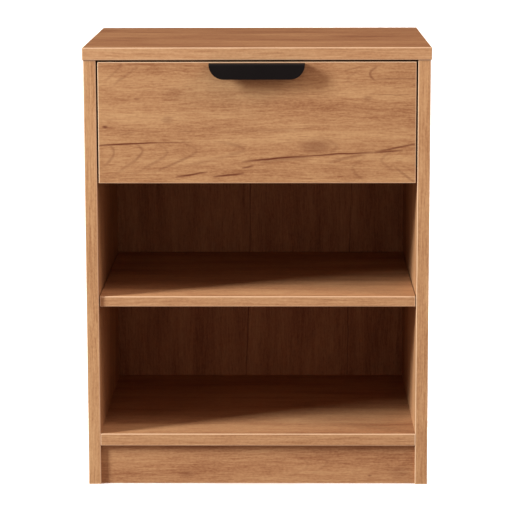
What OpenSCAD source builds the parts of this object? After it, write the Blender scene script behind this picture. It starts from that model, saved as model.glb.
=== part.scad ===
// Bedside cabinet with one inset drawer on roller runners above two open shelves.
// Flat-pack construction: edge-banded boards, cam fittings, dowels, a nailed-on back.
// Millimetres. X runs to the right, Y to the back and Z up. The origin is the centre of
// the footprint at floor level, with the drawer pull counted in the footprint.

/* [Cabinet] */
// Width of the top panel
top_w = 500; // [480:1:560]
// Depth of the top panel
top_d = 400; // [395:1:450]
// Height of the cabinet
total_h = 642; // [630:1:700]
// Thickness of the carcass boards and the drawer front
board_t = 18; // [16:1:19]
// How far the top stands proud of the sides, in front and at each end
top_proud = 1.5; // [0.5:0.5:3]
// Thickness of the edge banding
band_t = 1.3; // [1.2:0.1:2]
// Radius of the banding's arrises
arris_r = 1.1; // [0.4:0.1:1.1]

/* [Shelves and back] */
// Height of the plinth
plinth_h = 58; // [54:1:70]
// How far the plinth is set back from the front
plinth_back = 6; // [0:0.5:10]
// Clear height between the bottom shelf and the adjustable shelf
lower_niche_h = 189; // [150:1:220]
// Thickness of the adjustable shelf
shelf_t = 15; // [12:1:18]
// How far the adjustable shelf is set back from the front
shelf_back = 4; // [0:0.5:8]
// Gap at each end of the adjustable shelf
shelf_gap = 1.2; // [0.5:0.1:2]
// Gap behind the adjustable shelf
shelf_rear_gap = 2; // [1:0.5:6]
// Thickness of the back panel
back_t = 3; // [3:0.5:4]
// Number of nails up each side of the back panel
back_nail_rows = 6; // [4:1:8]
// Number of nails along the bottom of the back panel
back_nail_columns = 4; // [3:1:6]

/* [Drawer] */
// Height of the drawer front
front_h = 175; // [170:1:185]
// Gap at each end of the drawer front
front_gap_x = 2.5; // [1:0.5:3]
// Gap above the drawer front
front_gap_z = 2.5; // [1:0.5:4]
// Height of the drawer box
box_h = 130; // [120:1:140]
// Thickness of the drawer box boards
box_t = 12; // [12:1:13]
// Thickness of the drawer bottom
box_bottom_t = 3; // [3:0.5:4]
// Height of the drawer box above the lower edge of its front
box_lift = 14; // [12:0.5:18]

/* [Pull] */
// Width of the pull
pull_w = 137; // [137:1:170]
// Height of the pull's front lip
pull_h = 22.5; // [20:0.5:28]
// How far the pull stands out from the drawer front
pull_reach = 17; // [15:1:28]
// Thickness of the pull's sheet steel
pull_t = 1.5; // [1.2:0.1:2]
// Distance from the drawer front's top edge down to the pull
pull_drop = 1.5; // [0:0.5:6]
// Distance between the pull's two screws
pull_pitch = 96; // [32:32:96]

/* [Runners] */
// Length of the runners and of the drawer box
runner_l = 350; // [340:1:350]
// Space that a runner takes between the side and the drawer box
runner_gap = 12.5; // [12.5:0.1:13]
// Height of the cabinet member
runner_h = 30; // [30:1:32]
// Diameter of the rollers
roller_d = 22; // [20:1:22]
// Width of the rollers
roller_w = 6; // [5:0.5:6]

/* [Hidden] */
$fn = 48;

// Cuts run this far past the faces that they open
eps = 1;
// Radial play between a fastener and its hole
play = 0.05;

// Carcass
side_out = top_w / 2 - top_proud;
side_in = side_out - board_t;
side_mid = side_in + board_t / 2;
y_face = -(top_d - top_proud - pull_reach) / 2;
y_rear = y_face - top_proud + top_d;
z_under_top = total_h - board_t;
z_floor_top = plinth_h + board_t;
z_shelf = z_floor_top + lower_niche_h;
y_plinth = y_face + plinth_back;
y_back_in = y_rear - back_t;

// Drawer
z_front_top = z_under_top - front_gap_z;
z_front = z_front_top - front_h;
front_w = 2 * (side_in - front_gap_x);
y_box = y_face + board_t;
y_box_rear = y_box + runner_l;
box_out = side_in - runner_gap;
box_in = box_out - box_t;
box_mid = box_out - box_t / 2;
z_box = z_front + box_lift;
groove_d = 6;
groove_play = 0.2;
groove_w = box_bottom_t + groove_play;
z_groove = z_box + 10;
z_pull = z_front_top - pull_drop;

// Fittings, placed from the front face or from a board's edge
cam_y = [y_face + 50, y_rear - 60];
dowel_y = [y_face + 85, y_rear - 95];
cam_reach = 24;
cam_d = 15;
cam_bore = 12.5;
cam_neck_d = 3.4;
cam_thread = 11;
dowel_d = 8;
dowel_l = 30;
dowel_in_face = 10;
box_cam_scale = 0.8;
box_dowel_d = 6;
plinth_dowel_x = 120;
z_plinth_cam = 20;
z_plinth_dowel = 42;
nail_d = 1.4;
nail_l = 18;
nail_head_d = 3.2;
nail_head_h = 0.8;
support_y = [y_face + 37, y_rear - 50];
support_pin_d = 5;
support_pin_l = 9;
support_w = 12;
support_drop = 9.5;
support_depth = 8;
screw_d = 3.4;
screw_head_d = 6.4;
screw_head_h = 1.2;
back_screw_d = 4.9;
back_screw_l = 38;
back_screw_z = [z_box + 50, z_box + 100];
pull_screw_d = 4;
pull_screw_head_d = 8;
pull_screw_head_h = 2.4;

// Runner section: u runs from the side's inner face to the drawer box
sheet_t = 1;
flange_u = 10.8;
lip_h = 2;
z_runner = z_box + 7;
runner_foot = 8;
y_runner = y_box + 2;
roller_play = 0.3;
roller_inset = 14;
roller_bore_r = 2.55;
axle_r = 2.5;
axle_head_r = 4;
roller_r = roller_d / 2;
z_drawer_roller = z_runner + sheet_t + roller_play + roller_r;
z_cabinet_roller = z_drawer_roller + 0.5;
z_rail = z_cabinet_roller + roller_r + roller_play - z_runner;
y_cabinet_roller = y_runner + roller_inset;
y_drawer_roller = y_box_rear - roller_inset;
u_cabinet_roller = 3;
u_drawer_roller = 3.5;
z_runner_screw = z_runner + 15;
runner_screw_y = [37, 165, 293];

oak = "#c48f62";
oak_edge = "#cf9f72";
dark_oak = "#a87850";
box_board = "#d8c9b4";
black_steel = "#1b1917";
runner_white = "#ece8dc";
zinc = "#b9bcbd";
beech = "#dcbf94";
nylon = "#f1efe8";
brown_plastic = "#b98a64";

// ---------- shared shapes ----------

// Points of an arc about [x, y]
function arc(x, y, r, from, to, steps = 6) = [
    for (i = [0 : steps])
        let (a = from + (to - from) * i / steps)
        [x + r * cos(a), y + r * sin(a)]
];

// A board given by its lowest and highest corners
module board(low, high) {
    translate(low)
        cube(high - low);
}

// Outline of a rectangle centred on the origin with four small round corners
module rounded_outline(w, d, r) {
    polygon(concat(
        arc(w / 2 - r, d / 2 - r, r, 0, 90),
        arc(-w / 2 + r, d / 2 - r, r, 90, 180),
        arc(-w / 2 + r, -d / 2 + r, r, 180, 270),
        arc(w / 2 - r, -d / 2 + r, r, 270, 360)
    ));
}

// Edge banding along X, centred, standing on z = 0. Its outer face is y = 0, facing -Y,
// and both arrises of that face are rounded
module banding(length, height) {
    rotate([90, 0, 90])
        linear_extrude(length, center = true)
            polygon(concat(
                [[band_t, 0]],
                arc(arris_r, arris_r, arris_r, 270, 180),
                arc(arris_r, height - arris_r, arris_r, 180, 90),
                [[band_t, height]]
            ));
}

// Children for the right side as they are, and mirrored for the left side
module both_sides() {
    for (m = [0, 1])
        mirror([m, 0, 0])
            children();
}

// Children drawn for the right side, on the side asked for
module on_side(side) {
    mirror([side == "left" ? 1 : 0, 0, 0])
        children();
}

// A rod along +X from x = 0
module rod(d, length) {
    rotate([0, 90, 0])
        cylinder(d = d, h = length);
}

// ---------- cam fittings and dowels ----------
// A cam joint is drawn with the anchoring board's face at x = 0 and the bolt running
// along +X into the other board, where the cam's bore opens towards -Z.

module cam_lock(t, k = 1) {
    r = k * cam_d / 2 - 0.15;
    h = k * cam_bore - 0.5;
    head = k * 3.7;
    slot = k * cam_neck_d / 2 + 0.2;
    translate([cam_reach, 0, -t / 2 + 0.2])
        difference() {
            cylinder(r = r, h = h);
            translate([-k * 4.2, -head, t / 2 - 0.2 - head])
                cube([k * 7.4, 2 * head, 2 * head]);
            translate([-r - eps, -slot, t / 2 - 0.2 - slot])
                cube([r, 2 * slot, 2 * slot]);
            for (a = [45, 135])
                rotate(a)
                    translate([-k * 3.4, -0.7, -eps])
                        cube([k * 6.8, 1.4, eps + 1.2]);
        }
}

module cam_bolt(k = 1) {
    shaft = cam_reach - k * cam_d / 2 - 0.6;
    translate([-cam_thread, 0, 0])
        rod(5 - 2 * play, cam_thread);
    rod(k * 7, shaft);
    rod(k * cam_neck_d, cam_reach - k * 1.5);
    translate([cam_reach - k * 2, 0, 0])
        rod(k * 6.4, k * 3);
}

module cam_cut(t, k = 1) {
    translate([-cam_thread - 0.5, 0, 0])
        rod(5, cam_thread + 0.5 + eps);
    rod(k * 7 + 1, cam_reach);
    translate([cam_reach, 0, -t / 2 - eps])
        cylinder(d = k * cam_d, h = k * cam_bore + eps);
}

module dowel(d) {
    translate([-dowel_in_face, 0, 0])
        rod(d, dowel_l);
}

module dowel_cut(d) {
    translate([-dowel_in_face - 1, 0, 0])
        rod(d + 2 * play, dowel_l + 2);
}

module carcass_cam_places() {
    both_sides() {
        for (y = cam_y) {
            translate([side_in, y, plinth_h + board_t / 2])
                rotate([0, 0, 180])
                    children();
            translate([side_mid, y, z_under_top])
                rotate([0, 90, 0])
                    children();
        }
        translate([side_in, y_plinth + board_t / 2, z_plinth_cam])
            rotate([-90, 0, 180])
                children();
    }
}

module carcass_dowel_places() {
    both_sides() {
        for (y = dowel_y) {
            translate([side_in, y, plinth_h + board_t / 2])
                rotate([0, 0, 180])
                    children();
            translate([side_mid, y, z_under_top])
                rotate([0, 90, 0])
                    children();
        }
        translate([side_in, y_plinth + board_t / 2, z_plinth_dowel])
            rotate([0, 0, 180])
                children();
        translate([plinth_dowel_x, y_plinth + board_t / 2, plinth_h])
            rotate([0, 90, 0])
                children();
    }
}

module box_cam_places() {
    both_sides()
        translate([box_mid, y_box, z_box + box_h / 2 + 5])
            rotate([-90, 0, 90])
                children();
}

module box_dowel_places() {
    both_sides()
        for (z = [z_box + 22, z_box + box_h - 20])
            translate([box_mid, y_box, z])
                rotate([0, 0, 90])
                    children();
}

// ---------- screws, pins and feet ----------

module runner_screw(length) {
    translate([-screw_head_h, 0, 0])
        rod(screw_head_d, screw_head_h);
    rod(screw_d, length);
}

module cabinet_runner_screw_places() {
    both_sides()
        for (y = runner_screw_y)
            translate([side_in - sheet_t, y_runner + y, z_runner_screw])
                children();
}

module drawer_runner_screw_places() {
    both_sides()
        for (y = runner_screw_y)
            translate([box_out + sheet_t, y_runner + y, z_runner_screw - 2.5])
                rotate([0, 0, 180])
                    children();
}

module back_screw_places() {
    both_sides()
        for (z = back_screw_z)
            translate([box_out, y_box_rear - box_t / 2, z])
                rotate([0, 0, 180])
                    children();
}

module back_screw(grow = 0) {
    rotate([0, 90, 0])
        cylinder(r1 = 4 + grow, r2 = back_screw_d / 2 + grow, h = 3.5);
    rod(back_screw_d + 2 * grow, back_screw_l + 2 * grow);
}

module pull_screw_places() {
    for (x = [-pull_pitch / 2, pull_pitch / 2])
        translate([x, y_box, z_pull - pull_h / 2 + 2])
            rotate([0, 0, -90])
                children();
}

module support_places() {
    both_sides()
        for (y = support_y)
            translate([side_in, y, z_shelf])
                children();
}

module support_pin(grow = 0) {
    translate([-eps, 0, -support_drop / 2])
        rod(support_pin_d + 2 * grow, support_pin_l + eps + 4 * grow);
}

// Nails run along +X of their own frame, into the rear edges of the boards
module back_nail_places() {
    z_low = plinth_h + board_t / 2;
    z_span = z_under_top - 30 - z_low;
    x_span = 2 * side_in;
    for (i = [0 : back_nail_rows - 1])
        both_sides()
            translate([side_mid, y_rear, z_low + z_span * i / (back_nail_rows - 1)])
                rotate([0, 0, -90])
                    children();
    for (i = [1 : back_nail_columns])
        translate([x_span * (i / (back_nail_columns + 1) - 0.5), y_rear, z_low])
            rotate([0, 0, -90])
                children();
}

module back_nail(grow = 0) {
    translate([-grow, 0, 0]) {
        rod(nail_head_d + 2 * grow, nail_head_h + 2 * grow);
        rod(nail_d + 2 * grow, nail_l + 4 * grow);
    }
}

// ---------- runners ----------
// Runner sections are drawn in u and z, with u = 0 on the side's inner face.

module runner_profile(points) {
    translate([side_in, y_runner + runner_l - 4, z_runner])
        mirror([1, 0, 0])
            rotate([90, 0, 0])
                linear_extrude(runner_l - 4)
                    polygon(points);
}

// A slotted hole through a web, long in Y
module web_slot(x, y, z) {
    slot_l = 5;
    slot_w = 4.4;
    depth = 4;
    translate([x, y, z]) {
        for (dy = [-slot_l / 2, slot_l / 2])
            translate([0, dy, 0])
                rod(slot_w, depth);
        translate([0, -slot_l / 2, -slot_w / 2])
            cube([depth, slot_l, slot_w]);
    }
}

module cabinet_runner(side) {
    t = sheet_t;
    color(runner_white)
        on_side(side)
            difference() {
                runner_profile([
                    [0, 0], [flange_u, 0], [flange_u, t + lip_h], [flange_u - t, t + lip_h],
                    [flange_u - t, t], [t, t], [t, runner_h - t], [flange_u - t, runner_h - t],
                    [flange_u - t, runner_h - t - lip_h], [flange_u, runner_h - t - lip_h],
                    [flange_u, runner_h], [0, runner_h]
                ]);
                translate([side_in - flange_u - eps, y_runner - eps, z_runner + runner_h - 5])
                    cube([flange_u - t + eps, 34, 5 + eps]);
                cabinet_runner_screw_places()
                    rod(screw_d + 2 * play, 20);
                for (y = [80, 230, 325])
                    web_slot(side_in - 2, y_runner + y, z_runner_screw);
                translate([side_in - 3, y_cabinet_roller, z_cabinet_roller])
                    rod(2 * (axle_r + play), 6);
            }
}

module drawer_runner(side) {
    t = sheet_t;
    u_web = runner_gap - t;
    color(runner_white)
        on_side(side)
            difference() {
                runner_profile([
                    [2.5, z_rail], [u_web, z_rail], [u_web, -runner_foot],
                    [runner_gap + box_t - 0.5, -runner_foot],
                    [runner_gap + box_t - 0.5, t - runner_foot],
                    [runner_gap, t - runner_foot], [runner_gap, z_rail + t], [2.5, z_rail + t]
                ]);
                drawer_runner_screw_places()
                    rod(screw_d + 2 * play, 20);
                for (y = [80, 230])
                    web_slot(box_out - 1, y_runner + y, z_runner_screw - 2.5);
                translate([box_out - 2, y_drawer_roller, z_drawer_roller])
                    rod(2 * (axle_r + play), 6);
            }
}

// Roller about the X axis, from x = 0 to its width, dished on both faces
module roller(side, x_low, y, z) {
    r = roller_r;
    w = roller_w;
    color(nylon)
        on_side(side)
            translate([x_low, y, z])
                rotate([0, 90, 0])
                    rotate_extrude($fn = 96)
                        polygon(concat(
                            [[roller_bore_r, 0], [4.6, 0], [5, 0.9], [8.2, 0.9], [8.6, 0]],
                            arc(r - 0.6, 0.6, 0.6, -90, 0, 3),
                            arc(r - 0.6, w - 0.6, 0.6, 0, 90, 3),
                            [[8.6, w], [8.2, w - 0.9], [5, w - 0.9], [4.6, w], [roller_bore_r, w]]
                        ));
}

// ---------- carcass ----------

module top_panel() {
    color(oak)
        difference() {
            board(
                [-top_w / 2 + band_t, y_face - top_proud + band_t, z_under_top],
                [top_w / 2 - band_t, y_rear - band_t, total_h]
            );
            carcass_cam_places()
                cam_cut(board_t);
            carcass_dowel_places()
                dowel_cut(dowel_d);
        }
}

module top_panel_banding() {
    y_mid = (y_face - top_proud + y_rear) / 2;
    color(oak_edge)
        translate([0, y_mid, z_under_top])
            intersection() {
                union() {
                    for (a = [0, 180])
                        rotate(a)
                            translate([0, -top_d / 2, 0])
                                banding(top_w, board_t);
                    for (a = [90, 270])
                        rotate(a)
                            translate([0, -top_w / 2, 0])
                                banding(top_d - 2 * band_t, board_t);
                }
                linear_extrude(board_t)
                    rounded_outline(top_w, top_d, arris_r);
            }
}

module side_panel(side) {
    color(oak)
        on_side(side)
            difference() {
                board([side_in, y_face + band_t, 0], [side_out, y_back_in, z_under_top]);
                carcass_cam_places()
                    cam_cut(board_t);
                carcass_dowel_places()
                    dowel_cut(dowel_d);
                cabinet_runner_screw_places()
                    rod(screw_d + 2 * play, 14);
                support_places()
                    support_pin(play);
                back_nail_places()
                    back_nail(play);
            }
}

module side_banding(side) {
    color(oak_edge)
        on_side(side)
            translate([side_out, y_face, z_under_top / 2])
                rotate([0, -90, 0])
                    banding(z_under_top, board_t);
}

module bottom_shelf() {
    color(oak)
        difference() {
            board([-side_in, y_face + band_t, plinth_h], [side_in, y_back_in, z_floor_top]);
            carcass_cam_places()
                cam_cut(board_t);
            carcass_dowel_places()
                dowel_cut(dowel_d);
            back_nail_places()
                back_nail(play);
        }
}

module bottom_shelf_banding() {
    color(oak_edge)
        translate([0, y_face, plinth_h])
            banding(2 * side_in, board_t);
}

module adjustable_shelf() {
    half_w = side_in - shelf_gap;
    color(oak)
        board(
            [-half_w, y_face + shelf_back + band_t, z_shelf],
            [half_w, y_back_in - shelf_rear_gap, z_shelf + shelf_t]
        );
}

module adjustable_shelf_banding() {
    color(oak_edge)
        translate([0, y_face + shelf_back, z_shelf])
            banding(2 * (side_in - shelf_gap), shelf_t);
}

module plinth() {
    color(oak)
        difference() {
            board([-side_in, y_plinth, 0], [side_in, y_plinth + board_t, plinth_h]);
            carcass_cam_places()
                cam_cut(board_t);
            carcass_dowel_places()
                dowel_cut(dowel_d);
        }
}

module back_panel() {
    margin = 1.5;
    color(dark_oak)
        difference() {
            board(
                [margin - side_out, y_back_in, plinth_h + margin],
                [side_out - margin, y_rear, z_under_top]
            );
            back_nail_places()
                back_nail(play);
        }
}

module back_panel_nails() {
    color(zinc)
        back_nail_places()
            back_nail();
}

// Plug-in bracket: a pin in the side, a plate on it, a ledge under the shelf and a web
module shelf_supports() {
    color(brown_plastic)
        support_places() {
            support_pin();
            translate([-1.2, -support_w / 2, -support_drop])
                cube([1.2, support_w, support_drop]);
            translate([-support_depth, -support_w / 2, -1.3])
                cube([support_depth, support_w, 1.3]);
            translate([0, 1.25, 0])
                rotate([90, 0, 0])
                    linear_extrude(2.5)
                        polygon([[-0.6, -1], [1 - support_depth, -1], [-0.6, -support_drop]]);
        }
}

module carcass_cam_locks() {
    color(zinc)
        carcass_cam_places()
            cam_lock(board_t);
}

module carcass_cam_bolts() {
    color(zinc)
        carcass_cam_places()
            cam_bolt();
}

module carcass_dowels() {
    color(beech)
        carcass_dowel_places()
            dowel(dowel_d);
}

module cabinet_runner_screws() {
    color(zinc)
        cabinet_runner_screw_places()
            runner_screw(12);
}

module cabinet_roller_axles() {
    u_far = u_cabinet_roller + roller_w + 0.2;
    color(zinc)
        both_sides()
            translate([side_in, y_cabinet_roller, z_cabinet_roller])
                rotate([0, 0, 180]) {
                    rod(2 * axle_r, u_far + 0.4);
                    translate([sheet_t, 0, 0])
                        rod(2 * axle_head_r, u_cabinet_roller - sheet_t - 0.2);
                    translate([u_far, 0, 0])
                        rod(2 * axle_head_r, 0.8);
                }
}

// ---------- drawer ----------

module drawer_front() {
    half_w = front_w / 2 - band_t;
    color(oak)
        difference() {
            board([-half_w, y_face, z_front + band_t], [half_w, y_box, z_front_top - band_t]);
            board(
                [-box_in - groove_d, y_box - groove_d, z_groove],
                [box_in + groove_d, y_box + eps, z_groove + groove_w]
            );
            box_cam_places()
                cam_cut(box_t, box_cam_scale);
            box_dowel_places()
                dowel_cut(box_dowel_d);
            pull_screw_places()
                translate([-eps, 0, 0])
                    rod(pull_screw_d + 0.5, board_t + 2 * eps);
        }
}

module drawer_front_banding() {
    color(oak_edge)
        translate([0, y_face, (z_front + z_front_top) / 2])
            rotate([-90, 0, 0])
                intersection() {
                    union() {
                        for (a = [0, 180])
                            rotate(a)
                                translate([0, -front_h / 2, 0])
                                    banding(front_w, board_t);
                        for (a = [90, 270])
                            rotate(a)
                                translate([0, -front_w / 2, 0])
                                    banding(front_h - 2 * band_t, board_t);
                    }
                    linear_extrude(board_t)
                        rounded_outline(front_w, front_h, arris_r);
                }
}

module drawer_side(side) {
    color(box_board)
        on_side(side)
            difference() {
                board([box_in, y_box, z_box], [box_out, y_box_rear, z_box + box_h - band_t]);
                board(
                    [box_in - eps, y_box - eps, z_groove],
                    [box_in + groove_d, y_box_rear + eps, z_groove + groove_w]
                );
                box_cam_places()
                    cam_cut(box_t, box_cam_scale);
                box_dowel_places()
                    dowel_cut(box_dowel_d);
                back_screw_places()
                    back_screw(play);
                drawer_runner_screw_places()
                    rod(screw_d + 2 * play, 11);
            }
}

module drawer_back() {
    y = y_box_rear - box_t;
    color(box_board)
        difference() {
            board([-box_in, y, z_box], [box_in, y_box_rear, z_box + box_h - band_t]);
            board(
                [-box_in - eps, y - eps, z_groove],
                [box_in + eps, y + groove_d, z_groove + groove_w]
            );
            back_screw_places()
                back_screw(play);
        }
}

// Strips on the top edges of the two sides and the back
module drawer_box_banding() {
    z = z_box + box_h;
    color(oak_edge) {
        both_sides()
            translate([box_out, (y_box + y_box_rear) / 2, z])
                rotate([-90, 0, 90])
                    banding(runner_l, box_t);
        translate([0, y_box_rear, z])
            rotate([-90, 0, 180])
                banding(2 * box_in, box_t);
    }
}

module drawer_bottom() {
    reach = groove_d - 0.5;
    z = z_groove + groove_play / 2;
    color(dark_oak)
        board(
            [-box_in - reach, y_box - reach, z],
            [box_in + reach, y_box_rear - box_t + reach, z + box_bottom_t]
        );
}

module drawer_cam_locks() {
    color(zinc)
        box_cam_places()
            cam_lock(box_t, box_cam_scale);
}

module drawer_cam_bolts() {
    color(zinc)
        box_cam_places()
            cam_bolt(box_cam_scale);
}

module drawer_dowels() {
    color(beech)
        box_dowel_places()
            dowel(box_dowel_d);
}

module drawer_back_screws() {
    color(zinc)
        back_screw_places()
            back_screw();
}

// What is cut from one lower corner of the pull, where the sheet hangs down by h behind y
module pull_corner_waste(y, h) {
    r = h - 1;
    translate([pull_w / 2 - r, y - eps, -h])
        difference() {
            translate([0, 0, -eps])
                cube([r + eps, pull_t + 2 * eps, r + eps]);
            translate([0, -eps, r])
                rotate([-90, 0, 0])
                    cylinder(r = r, h = pull_t + 4 * eps, $fn = 128);
        }
}

// One folded sheet: a plate on the drawer front, a ledge and a lip, with round lower corners
module drawer_pull() {
    inner = 0.9;
    bend = pull_t + inner;
    plate_h = 18;
    color(black_steel)
        translate([0, y_face, z_pull])
            difference() {
                rotate([90, 0, 90])
                    linear_extrude(pull_w, center = true)
                        polygon(concat(
                            [[0, -plate_h]],
                            arc(-bend, -bend, bend, 0, 90),
                            arc(bend - pull_reach, -bend, bend, 90, 180),
                            [[-pull_reach, -pull_h], [pull_t - pull_reach, -pull_h]],
                            arc(bend - pull_reach, -bend, inner, 180, 90),
                            arc(-bend, -bend, inner, 90, 0),
                            [[-pull_t, -plate_h]]
                        ));
                for (m = [0, 1])
                    mirror([m, 0, 0]) {
                        pull_corner_waste(-pull_reach, pull_h);
                        pull_corner_waste(-pull_t, plate_h);
                    }
                for (x = [-pull_pitch / 2, pull_pitch / 2])
                    translate([x, -pull_t - eps, 2 - pull_h / 2])
                        rotate([-90, 0, 0])
                            cylinder(d = pull_screw_d, h = pull_t + 2 * eps);
            }
}

module pull_screws() {
    color(zinc)
        pull_screw_places() {
            translate([-pull_screw_head_h, 0, 0])
                rod(pull_screw_head_d, pull_screw_head_h);
            rod(pull_screw_d - 2 * play, board_t + pull_t);
        }
}

module drawer_runner_screws() {
    color(zinc)
        drawer_runner_screw_places()
            runner_screw(9.5);
}

module drawer_roller_axles() {
    u_head = u_drawer_roller - 0.8;
    u_collar = u_drawer_roller + roller_w + 0.3;
    color(zinc)
        both_sides()
            translate([side_in, y_drawer_roller, z_drawer_roller])
                rotate([0, 0, 180]) {
                    translate([u_head, 0, 0])
                        rod(2 * axle_r, runner_gap - u_head);
                    translate([u_head, 0, 0])
                        rod(2 * axle_head_r, 0.6);
                    translate([u_collar, 0, 0])
                        rod(2 * axle_head_r, runner_gap - sheet_t - u_collar);
                }
}

module cabinet_roller(side) {
    roller(side, side_in - u_cabinet_roller - roller_w, y_cabinet_roller, z_cabinet_roller);
}

module drawer_roller(side) {
    roller(side, side_in - u_drawer_roller - roller_w, y_drawer_roller, z_drawer_roller);
}

top_panel();
top_panel_banding();
side_panel("left");  // side_panel_left
side_panel("right");  // side_panel_right
side_banding("left");  // side_banding_left
side_banding("right");  // side_banding_right
bottom_shelf();
bottom_shelf_banding();
adjustable_shelf();
adjustable_shelf_banding();
plinth();
back_panel();
back_panel_nails();
shelf_supports();
carcass_cam_locks();
carcass_cam_bolts();
carcass_dowels();
cabinet_runner("left");  // cabinet_runner_left
cabinet_runner("right");  // cabinet_runner_right
cabinet_runner_screws();
cabinet_roller_axles();
cabinet_roller("left");  // cabinet_roller_left
cabinet_roller("right");  // cabinet_roller_right
drawer_front();
drawer_front_banding();
drawer_side("left");  // drawer_side_left
drawer_side("right");  // drawer_side_right
drawer_back();
drawer_box_banding();
drawer_bottom();
drawer_cam_locks();
drawer_cam_bolts();
drawer_dowels();
drawer_back_screws();
drawer_pull();
pull_screws();
drawer_runner("left");  // drawer_runner_left
drawer_runner("right");  // drawer_runner_right
drawer_runner_screws();
drawer_roller_axles();
drawer_roller("left");  // drawer_roller_left
drawer_roller("right");  // drawer_roller_right
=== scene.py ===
import math

import bpy
from mathutils import Matrix, Vector


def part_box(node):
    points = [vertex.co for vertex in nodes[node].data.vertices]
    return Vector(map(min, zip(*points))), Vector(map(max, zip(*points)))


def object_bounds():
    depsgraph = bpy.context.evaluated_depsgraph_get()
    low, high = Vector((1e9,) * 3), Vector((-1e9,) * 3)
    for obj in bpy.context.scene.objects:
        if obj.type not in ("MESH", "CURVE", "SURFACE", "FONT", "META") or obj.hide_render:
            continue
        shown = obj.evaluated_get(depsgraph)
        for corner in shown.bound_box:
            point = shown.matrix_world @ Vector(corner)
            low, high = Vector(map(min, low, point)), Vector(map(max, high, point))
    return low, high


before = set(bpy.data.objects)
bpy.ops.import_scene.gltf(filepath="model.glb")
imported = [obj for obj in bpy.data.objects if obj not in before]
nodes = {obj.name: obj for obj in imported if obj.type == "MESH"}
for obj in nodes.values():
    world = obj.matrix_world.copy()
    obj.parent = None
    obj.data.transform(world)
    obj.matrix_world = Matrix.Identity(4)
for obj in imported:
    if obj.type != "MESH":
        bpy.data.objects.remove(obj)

# Lengths are in metres. X runs to the right, Y to the back and Z up, as in the frame. The front of
# the cabinet looks towards -Y.

cad_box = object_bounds()

X, Y, Z = 0, 1, 2
SIDES = ("left", "right")


# ---------- camera and lights ----------

# The key is a little cooler than the fills, so the shadows are browner than the lit faces.
NEUTRAL = (1.0, 1.0, 1.0)
COOL = (0.94, 1.0, 1.0)
WARM = (1.0, 0.86, 0.78)


def add_camera():
    """The photograph's view: almost straight from the front, looking down on the top.

    The photograph's lens was shifted far. Other views keep the shift, so it stays small here, and
    the tilt does the rest."""
    data = bpy.data.cameras.new("camera")
    data.lens = 162.1
    data.sensor_width = 36.0
    data.shift_x = 0.0014
    data.shift_y = -0.03
    data.clip_end = 100.0
    place = (0.0403, -3.4975, 0.9054)
    tilt_down = math.radians(9.35)
    turn, roll = 0.0124, -0.0025  # radians: the photographer stood a little off the middle
    camera = bpy.data.objects.new("camera", data)
    camera.matrix_world = (
        Matrix.Translation(place)
        @ Matrix.Rotation(turn, 4, "Z")
        @ Matrix.Rotation(math.pi / 2 - tilt_down, 4, "X")
        @ Matrix.Rotation(roll, 4, "Z")
    )
    bpy.context.scene.collection.objects.link(camera)
    bpy.context.scene.camera = camera


def towards(azimuth_deg, elevation_deg):
    """The direction to a lamp. Azimuth 0 is straight in front, and positive to the right."""
    azimuth, elevation = math.radians(azimuth_deg), math.radians(elevation_deg)
    flat = math.cos(elevation)
    return Vector((math.sin(azimuth) * flat, -math.cos(azimuth) * flat, math.sin(elevation)))


def add_lamp(name, kind, direction, place, energy, colour):
    data = bpy.data.lights.new(name, kind)
    data.energy = energy
    data.color = colour
    lamp = bpy.data.objects.new(name, data)
    lamp.location = place
    lamp.rotation_euler = direction.to_track_quat("Z", "Y").to_euler()
    bpy.context.scene.collection.objects.link(lamp)
    return lamp


def add_sun(name, direction, strength, spread_deg, colour=NEUTRAL):
    """A light from one direction all over. A wide spread makes its shadows soft."""
    anywhere = (0, 0, 2)
    lamp = add_lamp(name, "SUN", direction, anywhere, strength, colour)
    lamp.data.angle = math.radians(spread_deg)
    return lamp


def add_softbox(name, direction, distance, size, power, colour):
    """A softbox of a width and a height, turned to the middle of the front."""
    middle_height = 0.45
    front = Vector((0.0, cad_box[0][Y], middle_height))
    data = add_lamp(name, "AREA", direction, front + direction * distance, power, colour).data
    data.shape = "RECTANGLE"
    data.size, data.size_y = size


def add_lights():
    """A strong key from the left, weak fills, and a low sun behind for the views from there.

    The key's angle places the shadow of the pull and the bright right-hand parts of the shelves."""
    add_softbox("key_left", towards(-67.5, 26.5), 5.0, (0.9, 1.9), 367.0, COOL)
    add_softbox("key_right", towards(70.0, 45.0), 2.6, (0.6, 0.9), 24.0, WARM)
    add_sun("low_left", towards(-68.0, 10.0), 0.2, 16.0, WARM)
    add_sun("low_right", towards(80.0, 8.0), 0.42, 20.0, WARM)
    add_sun("overhead", towards(10.0, 64.0), 0.30, 20.0, WARM)
    rear = add_sun("rear", towards(155.0, 9.0), 1.8, 25.0)
    rear.visible_glossy = False


def add_world():
    """White behind the object, and a weak warm light from all round it."""
    world = bpy.data.worlds.new("studio")
    world.use_nodes = True
    tree = world.node_tree
    tree.nodes.clear()
    path = tree.nodes.new("ShaderNodeLightPath")
    white, warm = (1.0, 1.0, 1.0, 1.0), (1.0, 0.69, 0.57, 1.0)
    layers = ((None, warm, 0.36), ("Is Glossy Ray", white, 0.06), ("Is Camera Ray", white, 1.0))
    shader = None
    for ray, colour, strength in layers:
        background = tree.nodes.new("ShaderNodeBackground")
        background.inputs["Color"].default_value = colour
        background.inputs["Strength"].default_value = strength
        if ray is None:
            shader = background.outputs[0]
            continue
        mix = tree.nodes.new("ShaderNodeMixShader")
        tree.links.new(path.outputs[ray], mix.inputs[0])
        tree.links.new(shader, mix.inputs[1])
        tree.links.new(background.outputs[0], mix.inputs[2])
        shader = mix.outputs[0]
    out = tree.nodes.new("ShaderNodeOutputWorld")
    tree.links.new(shader, out.inputs["Surface"])
    bpy.context.scene.world = world


# ---------- colours and shader building ----------

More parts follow.
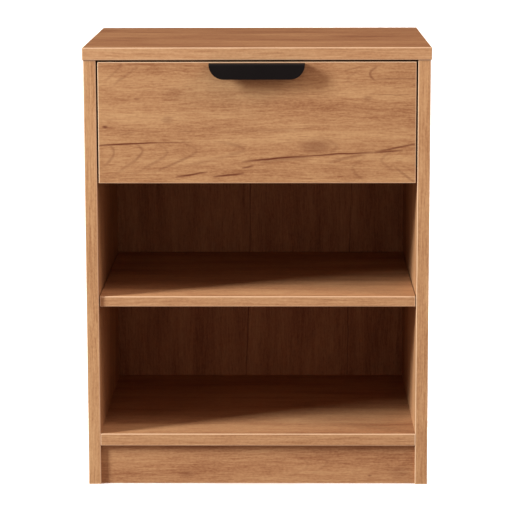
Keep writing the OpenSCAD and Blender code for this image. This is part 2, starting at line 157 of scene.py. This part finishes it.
def srgb(r, g, b):
    """A colour given as 0 to 255 sRGB, in the linear values that shaders use."""
    def linear(v):
        v /= 255
        return v / 12.92 if v <= 0.04045 else ((v + 0.055) / 1.055) ** 2.4
    return (linear(r), linear(g), linear(b), 1.0)


def times(colour, factors):
    """A colour with its red, green and blue each multiplied by a factor."""
    return tuple(v * f for v, f in zip(colour, factors)) + (1.0,)


def shaded(tones, factors):
    """Each of the tones, dark to light, multiplied by the same factors."""
    return tuple(times(tone, factors) for tone in tones)


class Graph:
    """One material's node tree, with short calls for the nodes that the looks are made of."""

    def __init__(self, name):
        self.material = bpy.data.materials.new(name)
        self.material.use_nodes = True
        self.tree = self.material.node_tree
        self.tree.nodes.clear()
        self.shader = self.node("ShaderNodeBsdfPrincipled")
        out = self.node("ShaderNodeOutputMaterial")
        self.link(self.shader.outputs["BSDF"], out.inputs["Surface"])

    def node(self, kind, **settings):
        made = self.tree.nodes.new(kind)
        for key, value in settings.items():
            setattr(made, key, value)
        return made

    def link(self, source, socket):
        self.tree.links.new(source, socket)

    def put(self, socket, value):
        """Links an output or sets a constant."""
        if isinstance(value, bpy.types.NodeSocket):
            self.link(value, socket)
        else:
            socket.default_value = value

    def place_and_normal(self):
        """The place on the object and the way its surface looks, each as x, y and z."""
        coordinates = self.node("ShaderNodeTexCoord").outputs
        return self.split(coordinates["Object"]), self.split(coordinates["Normal"])

    def math(self, operation, a, b=0.0, c=0.0):
        made = self.node("ShaderNodeMath", operation=operation)
        for socket, value in zip(made.inputs, (a, b, c)):
            self.put(socket, value)
        return made.outputs[0]

    def vary(self, base, noise, amount):
        """The base, moved up where the noise is above its mean of a half, and down where below."""
        return self.math("MULTIPLY_ADD", self.math("SUBTRACT", noise, 0.5), amount, base)

    def smooth(self, value, low, high, to_low=0.0, to_high=1.0):
        """A soft step: to_low where the value is at low, and to_high where it is at high."""
        made = self.node("ShaderNodeMapRange", interpolation_type="SMOOTHSTEP")
        for socket, v in zip(made.inputs, (value, low, high, to_low, to_high)):
            self.put(socket, v)
        return made.outputs[0]

    def split(self, vector):
        made = self.node("ShaderNodeSeparateXYZ")
        self.link(vector, made.inputs[0])
        return list(made.outputs)

    def join(self, x, y, z):
        made = self.node("ShaderNodeCombineXYZ")
        for socket, value in zip(made.inputs, (x, y, z)):
            self.put(socket, value)
        return made.outputs[0]

    def noise(self, vector, per_metre, detail=2.0, rough=0.5):
        """A noise with so many cells to the metre along each axis."""
        scaled = self.node("ShaderNodeVectorMath", operation="MULTIPLY")
        self.link(vector, scaled.inputs[0])
        scaled.inputs[1].default_value = per_metre
        made = self.node("ShaderNodeTexNoise")
        self.link(scaled.outputs[0], made.inputs["Vector"])
        made.inputs["Scale"].default_value = 1.0
        made.inputs["Detail"].default_value = detail
        made.inputs["Roughness"].default_value = rough
        return made.outputs["Fac"]

    def ramp(self, value, stops):
        """The colour at a value between stops of (value, colour)."""
        made = self.node("ShaderNodeValToRGB")
        elements = made.color_ramp.elements
        while len(elements) < len(stops):
            elements.new(0.5)
        for element, (at, colour) in zip(elements, stops):
            element.position = at
            element.color = colour
        self.link(value, made.inputs[0])
        return made.outputs["Color"]

    def blend(self, amount, a, b):
        """Colour a where the amount is 0, and b where it is 1."""
        made = self.node("ShaderNodeMix", data_type="RGBA", blend_type="MIX")
        self.put(made.inputs["Factor"], amount)
        self.put(made.inputs[6], a)
        self.put(made.inputs[7], b)
        return made.outputs[2]

    def bump(self, height, strength, distance):
        made = self.node("ShaderNodeBump")
        made.inputs["Strength"].default_value = strength
        made.inputs["Distance"].default_value = distance
        self.link(height, made.inputs["Height"])
        self.link(made.outputs["Normal"], self.shader.inputs["Normal"])

    def finish(self, **sockets):
        """Fills the shader's sockets, named with _ for a space, and gives the material."""
        for name, value in sockets.items():
            self.put(self.shader.inputs[name.replace("_", " ")], value)
        return self.material


# ---------- marks of the grain ----------

# A mark is a function of the graph, the place along and across the grain, and a slow noise that
# makes it uneven. It gives how strongly the mark shows.

def crack(start, end, width, strength=0.8, wobble=0.0012):
    """A dark check in the print, fainter towards its ends."""
    def mask(g, along, across, drift):
        u = g.math("DIVIDE", g.math("SUBTRACT", along, start[0]), end[0] - start[0])
        line = g.math("MULTIPLY_ADD", u, end[1] - start[1], start[1])
        line = g.vary(line, drift, wobble * 4)
        away = g.math("ABSOLUTE", g.math("SUBTRACT", across, line))
        middle = g.math("MULTIPLY", u, g.math("SUBTRACT", 1.0, u))
        taper = g.math("POWER", g.math("MAXIMUM", g.math("MULTIPLY", middle, 4.0), 0.0), 0.5)
        near = g.smooth(g.math("DIVIDE", away, width), 1.0, 0.1)
        return g.math("MULTIPLY", g.math("MULTIPLY", near, taper), strength)
    return mask


def knot(middle, radius, stretch=1.8, strength=0.7):
    """A dark knot with a soft rim, longer along the grain by the stretch."""
    def mask(g, along, across, drift):
        da = g.math("DIVIDE", g.math("SUBTRACT", along, middle[0]), stretch)
        dc = g.math("SUBTRACT", across, middle[1])
        away = g.math("SQRT", g.math("ADD", g.math("POWER", da, 2.0), g.math("POWER", dc, 2.0)))
        away = g.vary(away, drift, radius)
        return g.smooth(away, radius, radius * 0.1, 0.0, strength)
    return mask


def arc(tip, opens, slope, blunt, above, below, width=0.0034, strength=0.2):
    """A cathedral line: a rounded tip whose two arms run away along the grain.

    opens is -1 or +1, the way that the arms run. slope is how far they run for each metre across
    the grain, blunt is the tip's radius, and above and below are how far across it they reach."""
    unevenness = 0.012

    def mask(g, along, across, drift):
        rise = g.math("SUBTRACT", across, tip[1])
        root = g.math("SQRT", g.math("MULTIPLY_ADD", rise, rise, blunt ** 2))
        arm = g.math("MULTIPLY", g.math("SUBTRACT", root, blunt), slope * opens)
        gap = g.math("SUBTRACT", g.math("SUBTRACT", along, tip[0]), arm)
        gap = g.vary(gap, drift, unevenness)
        lean = g.math("MULTIPLY", g.math("DIVIDE", rise, root), slope)
        steep = g.math("SQRT", g.math("MULTIPLY_ADD", lean, lean, 1.0))
        away = g.math("DIVIDE", g.math("ABSOLUTE", gap), g.math("MULTIPLY", steep, width))
        upper, lower = g.smooth(rise, above, above * 0.5), g.smooth(rise, -below, -below * 0.5)
        patchy = g.smooth(drift, 0.35, 0.6, 0.4 * strength, strength)
        shown = g.math("MULTIPLY", g.smooth(away, 1.0, 0.0), g.math("MULTIPLY", upper, lower))
        return g.math("MULTIPLY", shown, patchy)
    return mask


def cathedral(at, first, step, count, middle, opens, slope, blunt, half, strength):
    """Nested arcs up the middle of a board, each a little wider than the one before.

    at is the board's own, from on(). first, step and middle are fractions of the board's size."""
    width, growth, stagger = 0.0045, 0.22, 0.012
    arcs = []
    for i in range(count):
        grow = 1.0 + growth * i
        tip = at(first - opens * step * i, middle + stagger * (-1) ** i)
        arcs.append(arc(tip, opens, slope, blunt * grow, half * grow, half * grow, width, strength))
    return arcs


def drawn(g, place, marks, plane):
    """All the marks of a board together: where they cross, the strongest shows."""
    drift = g.noise(g.join(*place), (22.0, 22.0, 22.0), 2.0)
    strongest = 0.0
    for mark in marks:
        strongest = g.math("MAXIMUM", mark(g, place[plane[0]], place[plane[1]], drift), strongest)
    return strongest


# ---------- printed oak ----------

# Tones of the print, dark to light.
SURFACE = (srgb(150, 98, 64), srgb(181, 133, 93), srgb(200, 156, 112))
EDGE = (srgb(164, 114, 76), srgb(197, 150, 108), srgb(214, 172, 128))
PALE = (srgb(196, 172, 138), srgb(214, 193, 160), srgb(226, 208, 178))
BEECH = (srgb(190, 150, 104), srgb(210, 172, 124), srgb(224, 190, 146))
PRESSED = (srgb(112, 76, 49), srgb(138, 98, 66), srgb(160, 118, 82))

CRACK = srgb(108, 46, 22)
# ARRIS_HIGHLIGHT is a painted highlight: a light colour laid along the edges, standing in for the light
# they catch.
ARRIS_HIGHLIGHT = srgb(232, 200, 166)


def rim_of(g, place, box, reach=0.0016):
    """1 on the edges of a box and 0 further from them than the reach.

    On an edge two of the three gaps to the faces are small, so the middle one of them tells."""
    low, high = box
    gaps = []
    for axis in (X, Y, Z):
        middle, half = (low[axis] + high[axis]) / 2, (high[axis] - low[axis]) / 2
        away = g.math("ABSOLUTE", g.math("SUBTRACT", place[axis], middle))
        gaps.append(g.math("SUBTRACT", half, away))
    nearer = g.math("MINIMUM", gaps[0], gaps[1])
    farther = g.math("MAXIMUM", gaps[0], gaps[1])
    second = g.math("MAXIMUM", nearer, g.math("MINIMUM", farther, gaps[2]))
    return g.smooth(second, reach, reach / 2)


def laid_along(g, place, normal, along, swap, seed):
    """The place in the grain's own axes: along it, then the two ways across, gently bent.

    The grain runs along one axis, or along swap on the faces square to that axis. The seed moves
    a board along the grain, so that each shows a piece of its own."""
    third = X + Y + Z - along - swap
    end_face = g.smooth(g.math("ABSOLUTE", normal[along]), 0.6, 0.8)
    step = g.math("MULTIPLY", end_face, g.math("SUBTRACT", place[swap], place[along]))
    grain = g.math("ADD", g.math("ADD", place[along], step), seed)
    other = g.math("SUBTRACT", place[swap], step)
    straight = g.join(grain, place[third], other)
    wave = g.noise(straight, (3.5, 9.0, 9.0), 1.0)
    sway = g.math("MULTIPLY", g.math("SUBTRACT", wave, 0.5), 0.014)
    return g.join(grain, g.math("ADD", place[third], sway), g.math("ADD", other, sway))


def pressed_fibre(g, place):
    """The brown back of a hardboard: a fine felt with soft darker patches."""
    vector = g.join(*place)
    felt = g.noise(vector, (700.0, 700.0, 700.0), 4.0, 0.7)
    patch = g.noise(vector, (14.0, 14.0, 14.0), 2.0)
    tone = g.math("ADD", g.math("MULTIPLY", felt, 0.8), g.math("MULTIPLY", patch, 0.2))
    return g.ramp(tone, tuple(zip((0.3, 0.5, 0.7), PRESSED)))


def oak(name, along, swap, tones, seed=0.0, fibre_size=0.0026, fibre_length=0.042, streak=1.0,
        cloud=1.0, fibre=1.0, marks=(), plane=None, arris=None, raw_face=None):
    """Oak decor, whose grain is laid as laid_along says.

    streak, cloud and fibre say how strongly each shows. marks are drawn in the plane of two axes, the
    grain's first. arris is the box whose edges get a painted highlight, a lighter colour standing in for
    light caught there. raw_face is an (axis, sign) pair: the face turned that way has no decor and shows
    the pressed fibre of a hardboard."""
    g = Graph(name)
    place, normal = g.place_and_normal()
    grain = laid_along(g, place, normal, along, swap, seed)
    per_length, per_size = 1.0 / fibre_length, 1.0 / fibre_size
    streaks = g.noise(grain, (2.6, 42.0, 42.0), 2.0, 0.55)
    clouds = g.noise(grain, (6.0, 24.0, 24.0), 2.0)
    fibres = g.noise(grain, (per_length, per_size, per_size), 2.0, 0.6)
    hairs = g.noise(grain, (per_length * 3.0, per_size * 3.0, per_size * 3.0), 2.0, 0.6)
    specks = g.noise(grain, (240.0, 430.0, 430.0), 1.0)
    holes = g.noise(grain, (per_length * 2.3, per_size * 2.4, per_size * 2.4), 0.0)
    pores = g.smooth(holes, 0.62, 0.74)
    layers = (
        (streaks, 0.9 * streak),
        (clouds, 0.75 * cloud),
        (fibres, 0.8 * fibre),
        (hairs, 0.7 * fibre),
        (specks, 0.5),
    )
    tone = 0.5
    for layer, weight in layers:
        tone = g.vary(tone, layer, weight)
    colour = g.ramp(tone, tuple(zip((0.12, 0.5, 0.88), tones)))
    colour = g.blend(g.math("MULTIPLY", pores, 0.30 * fibre), colour, tones[0])
    if marks:
        colour = g.blend(drawn(g, place, marks, plane), colour, CRACK)
    # Painted highlight: the box's edges are made lighter, standing in for the glint of light on rounded
    # arrises.
    if arris:
        painted_arris_highlight = g.math("MULTIPLY", rim_of(g, place, arris), 0.75)
        colour = g.blend(painted_arris_highlight, colour, ARRIS_HIGHLIGHT)
    if raw_face:
        axis, sign = raw_face
        turned_so = g.smooth(g.math("MULTIPLY", normal[axis], sign), 0.4, 0.6)
        colour = g.blend(turned_so, colour, pressed_fibre(g, place))
    height = g.math("MULTIPLY_ADD", pores, -0.7, g.math("MULTIPLY", fibres, 0.5))
    g.bump(height, 0.22, 0.0004)
    return g.finish(Base_Color=colour, Roughness=g.vary(0.55, fibres, 0.15), Specular_IOR_Level=0.35)


def edge_oak(name, along, swap, seed, box, tones=EDGE):
    """The banding on a board's edge: paler, with long fine straight grain and painted highlights on its
    arrises.
    """
    return oak(name, along, swap, tones, seed, fibre_size=0.0024, fibre_length=0.085, streak=0.4,
               cloud=0.45, fibre=1.15, arris=box)


# ---------- the other materials ----------

def coated_steel(name, colour, roughness, grain_size, bump_strength, gloss=0.5):
    """Powder or epoxy coat: an even colour over a fine orange peel."""
    g = Graph(name)
    place, _ = g.place_and_normal()
    vector = g.join(*place)
    peel = g.noise(vector, (1.0 / grain_size,) * 3, 2.0)
    dust = g.noise(vector, (9.0, 9.0, 9.0), 3.0)
    lighter = tuple(min(1.0, v * 1.5 + 0.004) for v in colour[:3]) + (1.0,)
    tint = g.blend(g.smooth(dust, 0.45, 0.8, 0.0, 0.5), colour, lighter)
    g.bump(peel, bump_strength, 0.0002)
    rough = g.vary(roughness, dust, 0.2)
    return g.finish(Base_Color=tint, Roughness=rough, Specular_IOR_Level=gloss)


def zinc(name):
    """Bright zinc plate with a faint bluish and yellow bloom."""
    g = Graph(name)
    place, _ = g.place_and_normal()
    vector = g.join(*place)
    bloom = g.noise(vector, (120.0, 120.0, 120.0), 2.0)
    scratch = g.noise(vector, (2400.0, 500.0, 900.0), 2.0)
    colour = g.ramp(bloom, ((0.35, srgb(176, 180, 186)), (0.65, srgb(206, 202, 190))))
    g.bump(scratch, 0.15, 0.0001)
    rough = g.math("MULTIPLY_ADD", scratch, 0.2, 0.22)
    return g.finish(Base_Color=colour, Roughness=rough, Metallic=1.0)


def plastic(name, colour, roughness):
    """Moulded plastic with a fine spark-eroded texture."""
    g = Graph(name)
    place, _ = g.place_and_normal()
    vector = g.join(*place)
    texture = g.noise(vector, (1800.0, 1800.0, 1800.0), 2.0)
    flow = g.noise(vector, (60.0, 60.0, 200.0), 2.0)
    darker = times(colour, (0.82, 0.82, 0.82))
    tint = g.blend(g.smooth(flow, 0.4, 0.75, 0.0, 0.7), colour, darker)
    g.bump(texture, 0.12, 0.0002)
    return g.finish(Base_Color=tint, Roughness=g.vary(roughness, flow, 0.2))


def matt_white(name):
    """The floor: nearly even, with a faint wide mottle."""
    g = Graph(name)
    place, _ = g.place_and_normal()
    mottle = g.noise(g.join(*place), (3.0, 3.0, 3.0), 3.0)
    colour = g.ramp(mottle, ((0.3, (0.78, 0.78, 0.775, 1.0)), (0.7, (0.82, 0.82, 0.815, 1.0))))
    return g.finish(Base_Color=colour, Roughness=0.9)


# ---------- where the marks are ----------

def on(box, along, across):
    """A function for points on a board's face, from fractions of its size along and across the grain."""
    low, high = box

    def at(u, v):
        return (
            low[along] + u * (high[along] - low[along]),
            low[across] + v * (high[across] - low[across]),
        )
    return at


def front_marks():
    at = on(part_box("drawer_front_banding"), X, Z)
    checks_on_the_left = [
        crack(at(-0.03, 0.308), at(0.20, 0.342), 0.0021, 1.0),
        crack(at(0.15, 0.338), at(0.30, 0.345), 0.0018, 0.45),
        crack(at(0.242, 0.052), at(0.345, 0.092), 0.0022, 0.9),
        crack(at(0.360, 0.052), at(0.460, 0.084), 0.0022, 0.95),
        crack(at(0.452, 0.128), at(0.490, 0.146), 0.0022, 0.7),
    ]
    long_check_to_the_right = [
        crack(at(0.450, 0.180), at(0.68, 0.232), 0.0026, 1.0),
        crack(at(0.500, 0.178), at(0.68, 0.226), 0.0060, 0.35),
        crack(at(0.63, 0.226), at(0.88, 0.260), 0.0020, 0.9),
        crack(at(0.855, 0.250), at(1.02, 0.340), 0.0024, 0.75),
        crack(at(0.86, 0.255), at(0.96, 0.272), 0.0022, 0.8),
        crack(at(0.72, 0.170), at(0.86, 0.262), 0.0040, 0.35),
        crack(at(0.93, 0.140), at(1.00, 0.000), 0.0040, 0.35),
    ]
    faint_streaks = [
        crack(at(0.065, 0.398), at(0.115, 0.425), 0.0014, 0.35),
        crack(at(0.25, 0.432), at(0.31, 0.438), 0.0016, 0.25),
        crack(at(0.38, 0.425), at(0.68, 0.445), 0.0045, 0.16),
        crack(at(0.86, 0.852), at(1.02, 0.868), 0.0018, 0.38),
        crack(at(0.85, 0.735), at(1.00, 0.728), 0.0015, 0.30),
        crack(at(0.77, 0.925), at(0.84, 0.972), 0.0018, 0.28),
    ]
    knots = [
        knot(at(0.022, 0.467), 0.0030, 1.8, 0.8),
        knot(at(0.216, 0.524), 0.0075, 1.6, 0.30),
        knot(at(0.124, 0.697), 0.0028, 2.6, 0.35),
        knot(at(0.235, 0.740), 0.0150, 1.6, 0.16),
        knot(at(0.690, 0.310), 0.0150, 2.2, 0.42),
        knot(at(0.847, 0.700), 0.0050, 1.8, 0.30),
    ]
    arcs = [
        arc(at(0.215, 0.258), -1, 1.9, 0.0070, 0.016, 0.040, strength=0.40),
        arc(at(0.139, 0.266), -1, 1.7, 0.0100, 0.013, 0.052, strength=0.40),
        arc(at(0.053, 0.258), -1, 1.3, 0.0100, 0.013, 0.030, strength=0.32),
        arc(at(0.307, 0.266), -1, 2.4, 0.0060, 0.016, 0.040, strength=0.40),
        arc(at(0.459, 0.283), -1, 4.0, 0.0045, 0.014, 0.030, 0.0045, 0.30),
        arc(at(0.750, 0.300), -1, 1.8, 0.0040, 0.016, 0.016, 0.0060, 0.32),
        arc(at(0.121, 0.975), -1, 1.4, 0.0060, 0.010, 0.036, 0.0035, 0.30),
        arc(at(0.075, 0.985), -1, 1.2, 0.0060, 0.010, 0.030, 0.0035, 0.26),
        arc(at(0.855, 0.900), 1, 1.6, 0.0060, 0.014, 0.012, 0.0032, 0.48),
        arc(at(0.780, 0.860), 1, 2.6, 0.0060, 0.016, 0.014, 0.0032, 0.34),
        arc(at(0.800, 0.120), 1, 1.5, 0.0070, 0.020, 0.020, 0.0035, 0.34),
        arc(at(0.890, 0.190), 1, 1.7, 0.0050, 0.018, 0.020, 0.0035, 0.36),
    ]
    return checks_on_the_left + long_check_to_the_right + faint_streaks + knots + arcs


def top_marks():
    """Broad soft bands: the top is seen at a low angle, which hides anything finer."""
    at = on(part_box("top_panel_banding"), X, Y)
    bands = [
        crack(at(-0.02, 0.40), at(0.17, 0.30), 0.013, 0.42, wobble=0.004),
        crack(at(0.08, 0.76), at(0.30, 0.70), 0.011, 0.32, wobble=0.004),
        crack(at(0.31, 0.66), at(0.60, 0.70), 0.015, 0.42, wobble=0.005),
        crack(at(0.55, 0.40), at(0.78, 0.36), 0.011, 0.24, wobble=0.004),
        crack(at(0.70, 0.58), at(0.93, 0.50), 0.013, 0.34, wobble=0.004),
        crack(at(0.84, 0.13), at(1.01, 0.10), 0.011, 0.26),
    ]
    return bands + cathedral(at, first=0.30, step=0.11, count=5, middle=0.46, opens=-1, slope=3.6,
                             blunt=0.016, half=0.050, strength=0.20)


def side_marks():
    """Made up: the photograph doesn't show the outer faces, and the inner ones are dark in it."""
    at = on(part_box("side_panel_left"), Z, Y)
    left = [
        crack(at(0.10, 0.20), at(0.42, 0.23), 0.0022, 0.35),
        crack(at(0.55, 0.82), at(0.86, 0.79), 0.0020, 0.30),
        knot(at(0.71, 0.27), 0.0080, 2.0, 0.35),
    ]
    right = [
        crack(at(0.30, 0.74), at(0.66, 0.77), 0.0022, 0.35),
        crack(at(0.05, 0.30), at(0.28, 0.28), 0.0020, 0.30),
        knot(at(0.38, 0.22), 0.0070, 2.2, 0.35),
    ]
    left += cathedral(at, first=0.30, step=0.10, count=6, middle=0.52, opens=-1, slope=4.2,
                      blunt=0.016, half=0.048, strength=0.22)
    right += cathedral(at, first=0.78, step=0.09, count=6, middle=0.45, opens=1, slope=3.8,
                       blunt=0.018, half=0.050, strength=0.22)
    return {"left": left, "right": right}


def plinth_marks():
    at = on(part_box("plinth"), X, Z)
    return [
        knot(at(0.275, 0.24), 0.0075, 2.2, 0.28),
        knot(at(0.857, 0.20), 0.0022, 2.2, 0.55),
        knot(at(0.95, 0.32), 0.012, 1.8, 0.22),
        crack(at(0.70, 0.62), at(0.80, 0.50), 0.0012, 0.25),
        arc(at(0.72, 0.55), -1, 1.9, 0.0080, 0.022, 0.026, 0.0034, 0.20),
        arc(at(0.66, 0.50), -1, 2.2, 0.0080, 0.022, 0.026, 0.0034, 0.16),
    ]


def back_marks():
    """Two long upright checks, which show at the back of both niches."""
    at = on(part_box("back_panel"), Z, X)
    return [
        crack(at(0.0, 0.452), at(0.47, 0.468), 0.0016, 0.75),
        crack(at(0.40, 0.470), at(0.98, 0.462), 0.0016, 0.75),
        crack(at(0.02, 0.785), at(0.55, 0.795), 0.0016, 0.65),
        crack(at(0.50, 0.800), at(1.0, 0.790), 0.0014, 0.65),
    ]


# ---------- which node wears what ----------

# The tones of a board are SURFACE or EDGE, shaded until the board has the photograph's colour under these
# lamps, so some boards' lighter or darker copies are painted light or painted shade.

def dress(names, material):
    for name in names:
        slots = nodes[name].data.materials
        slots.clear()
        slots.append(material)


def dress_carcass():
    # Painted shade: the top is a darker copy of the print, for the way light falls on it from above.
    top_painted_shade_tones = shaded(SURFACE, (0.76, 0.67, 0.60))
    top = oak("oak_top", X, Y, top_painted_shade_tones, seed=1.3, marks=top_marks(), plane=(X, Y))
    top_edge = edge_oak("oak_top_edge", X, Y, 2.1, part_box("top_panel_banding"))
    dress(["top_panel"], top)
    dress(["top_panel_banding"], top_edge)

    marks = side_marks()
    # Painted light: the side edges are a lighter copy of EDGE, for the light that reaches them.
    side_edge_painted_light_tones = shaded(EDGE, (1.05, 1.07, 1.05))
    for side, seed in zip(SIDES, (4.0, 7.0)):
        panel = oak(f"oak_side_{side}", Z, X, SURFACE, seed, streak=0.8, marks=marks[side], plane=(Z, Y))
        dress([f"side_panel_{side}"], panel)
        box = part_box(f"side_banding_{side}")
        edge = edge_oak(f"oak_side_edge_{side}", Z, X, seed, box, side_edge_painted_light_tones)
        dress([f"side_banding_{side}"], edge)

    # Painted light and shade: the loose shelf is a lighter copy of the print and the bottom shelf a darker
    # one, for the light that falls into each niche.
    bottom_painted_shade_tones = shaded(SURFACE, (0.95, 0.93, 0.93))
    loose_painted_light_tones = shaded(SURFACE, (1.10, 1.07, 1.07))
    dress(["bottom_shelf"], oak("oak_bottom_shelf", X, Y, bottom_painted_shade_tones, seed=9.2, streak=0.8))
    dress(["adjustable_shelf"], oak("oak_loose_shelf", X, Y, loose_painted_light_tones, seed=9.2, streak=0.8))
    for name in ("bottom_shelf_banding", "adjustable_shelf_banding"):
        dress([name], edge_oak("oak_" + name, X, Y, 5.5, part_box(name)))

    plinth_tones = shaded(SURFACE, (1.09, 1.09, 1.09))
    plinth = oak("oak_plinth", X, Y, plinth_tones, seed=3.7, marks=plinth_marks(), plane=(X, Z))
    dress(["plinth"], plinth)

    back_tones = shaded(SURFACE, (1.03, 0.98, 0.98))
    back = oak("oak_back", Z, X, back_tones, seed=8.8, marks=back_marks(), plane=(Z, X), raw_face=(Y, 1.0))
    dress(["back_panel"], back)


def dress_drawer():
    """The drawer's front as one board, and its box, which is paler."""
    tones = shaded(SURFACE, (1.09, 1.13, 1.12))
    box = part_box("drawer_front_banding")
    front = oak("oak_drawer_front", X, Z, tones, seed=6.9, marks=front_marks(), plane=(X, Z), arris=box)
    dress(["drawer_front", "drawer_front_banding"], front)
    dress(["drawer_side_left", "drawer_side_right"], oak("pale_box_sides", Y, X, PALE, 2.4, streak=0.7))
    dress(["drawer_back"], oak("pale_box_back", X, Y, PALE, 3.4, streak=0.7))
    dress(["drawer_bottom"], oak("pale_box_bottom", X, Y, PALE, 5.4, streak=0.7, raw_face=(Z, -1.0)))
    dress(["drawer_box_banding"], oak("pale_box_edge", Y, X, PALE, 1.4, fibre_size=0.0022, streak=0.5))


def dress_fittings():
    black = coated_steel("black_powder_coat", srgb(18, 10, 10), roughness=0.55, grain_size=0.0006,
                         bump_strength=0.25, gloss=0.25)
    white = coated_steel("white_epoxy", srgb(228, 225, 214), roughness=0.35, grain_size=0.0012,
                         bump_strength=0.1)
    owners = ("cabinet", "drawer")
    runners = [f"{owner}_runner_{side}" for owner in owners for side in SIDES]
    rollers = [f"{owner}_roller_{side}" for owner in owners for side in SIDES]
    metal = [n for n in nodes if any(word in n for word in ("cam_", "screws", "nails", "axles"))]
    dress(["drawer_pull"], black)
    dress(runners, white)
    dress(rollers, plastic("nylon", srgb(238, 236, 226), 0.42))
    dress(["shelf_supports"], plastic("brown_plastic", srgb(176, 128, 90), 0.45))
    dress(metal, zinc("zinc_plate"))
    beech = oak("beech", X, Y, BEECH, 0.4, fibre_size=0.0012, streak=0.5)
    dress(["carcass_dowels", "drawer_dowels"], beech)


# ---------- the floor ----------

def add_floor():
    """A white floor with an overhead light of its own, which the cabinet keeps from under itself.

    The floor neither lights the cabinet nor shows in its gloss."""
    bpy.ops.mesh.primitive_plane_add(size=80.0, location=(0, 0, 0))
    floor = bpy.context.object
    floor.name = "floor"
    floor.data.materials.append(matt_white("pale_floor"))
    floor.visible_diffuse = False
    floor.visible_glossy = False
    floor_only = bpy.data.collections.new("floor_only")
    floor_only.objects.link(floor)
    straight_above = Vector((0, 0, 1))
    lamp = add_sun("floor_light", straight_above, 4.9, 3.0)
    lamp.light_linking.receiver_collection = floor_only


add_camera()
add_lights()
add_world()
dress_carcass()
dress_drawer()
dress_fittings()
add_floor()
bpy.context.scene.view_settings.view_transform = "Standard"
